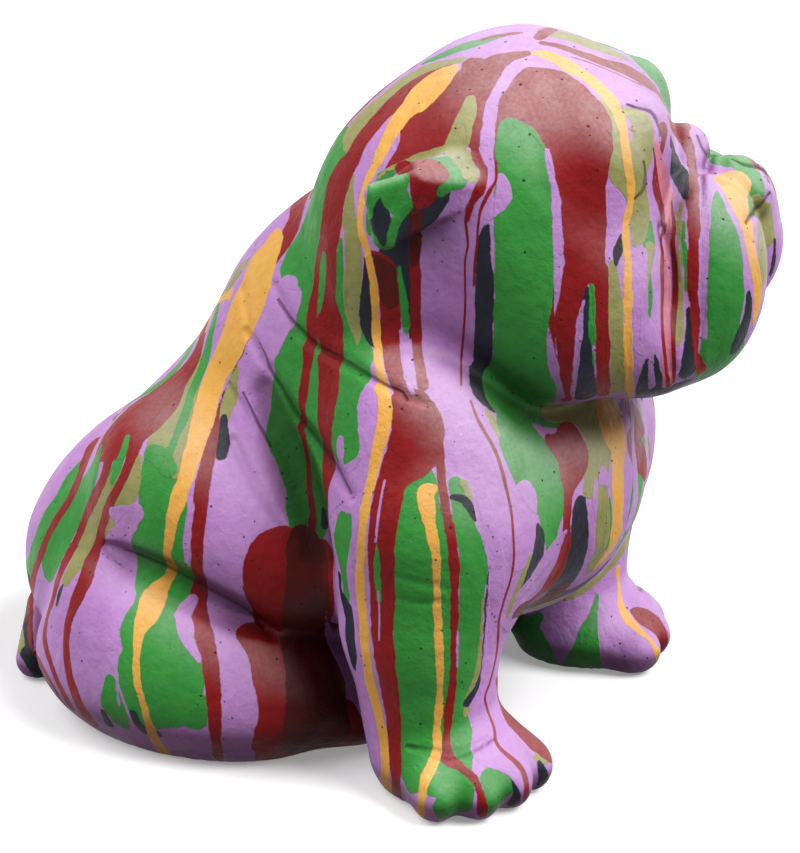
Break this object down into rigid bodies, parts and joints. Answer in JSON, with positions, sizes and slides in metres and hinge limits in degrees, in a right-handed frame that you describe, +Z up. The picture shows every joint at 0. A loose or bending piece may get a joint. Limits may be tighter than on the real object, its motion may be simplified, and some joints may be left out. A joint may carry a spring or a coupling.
{
  "type": "sitting bulldog puppy statue",
  "caption": "Floor-standing ornament: a sitting bulldog puppy with its head turned to its left, hollow cast and covered with drips of poured paint.",
  "frame": {"origin": "on the ground, under the middle of the outline", "axes": "+Z up, the dog's body faces -Y, and its left side is +X"},
  "size_m": [0.3154, 0.447, 0.398],
  "materials": {
    "painted_clay": "sealed satin paint, poured in drips of lilac, green, oxblood, olive, blue-black and orange over fibre clay with pinholes",
    "bare_clay": "bare cast fibre clay",
    "steel": "bright drawn rod",
    "felt": "self-adhesive felt"
  },
  "bodies": {
    "root": {"torso": "painted_clay", "head": "painted_clay", "right_ear": "painted_clay", "left_ear": "painted_clay", "right_foreleg": "painted_clay", "left_foreleg": "painted_clay", "right_hind_leg": "painted_clay", "left_hind_leg": "painted_clay", "tail": "painted_clay", "base_plate": "bare_clay", "right_neck_pin": "steel", "left_neck_pin": "steel", "right_haunch_pin": "steel", "left_haunch_pin": "steel", "right_foreleg_rod": "steel", "left_foreleg_rod": "steel", "right_forepaw_pad": "felt", "left_forepaw_pad": "felt", "right_haunch_pad": "felt", "left_haunch_pad": "felt"}
  },
  "joints": []
}
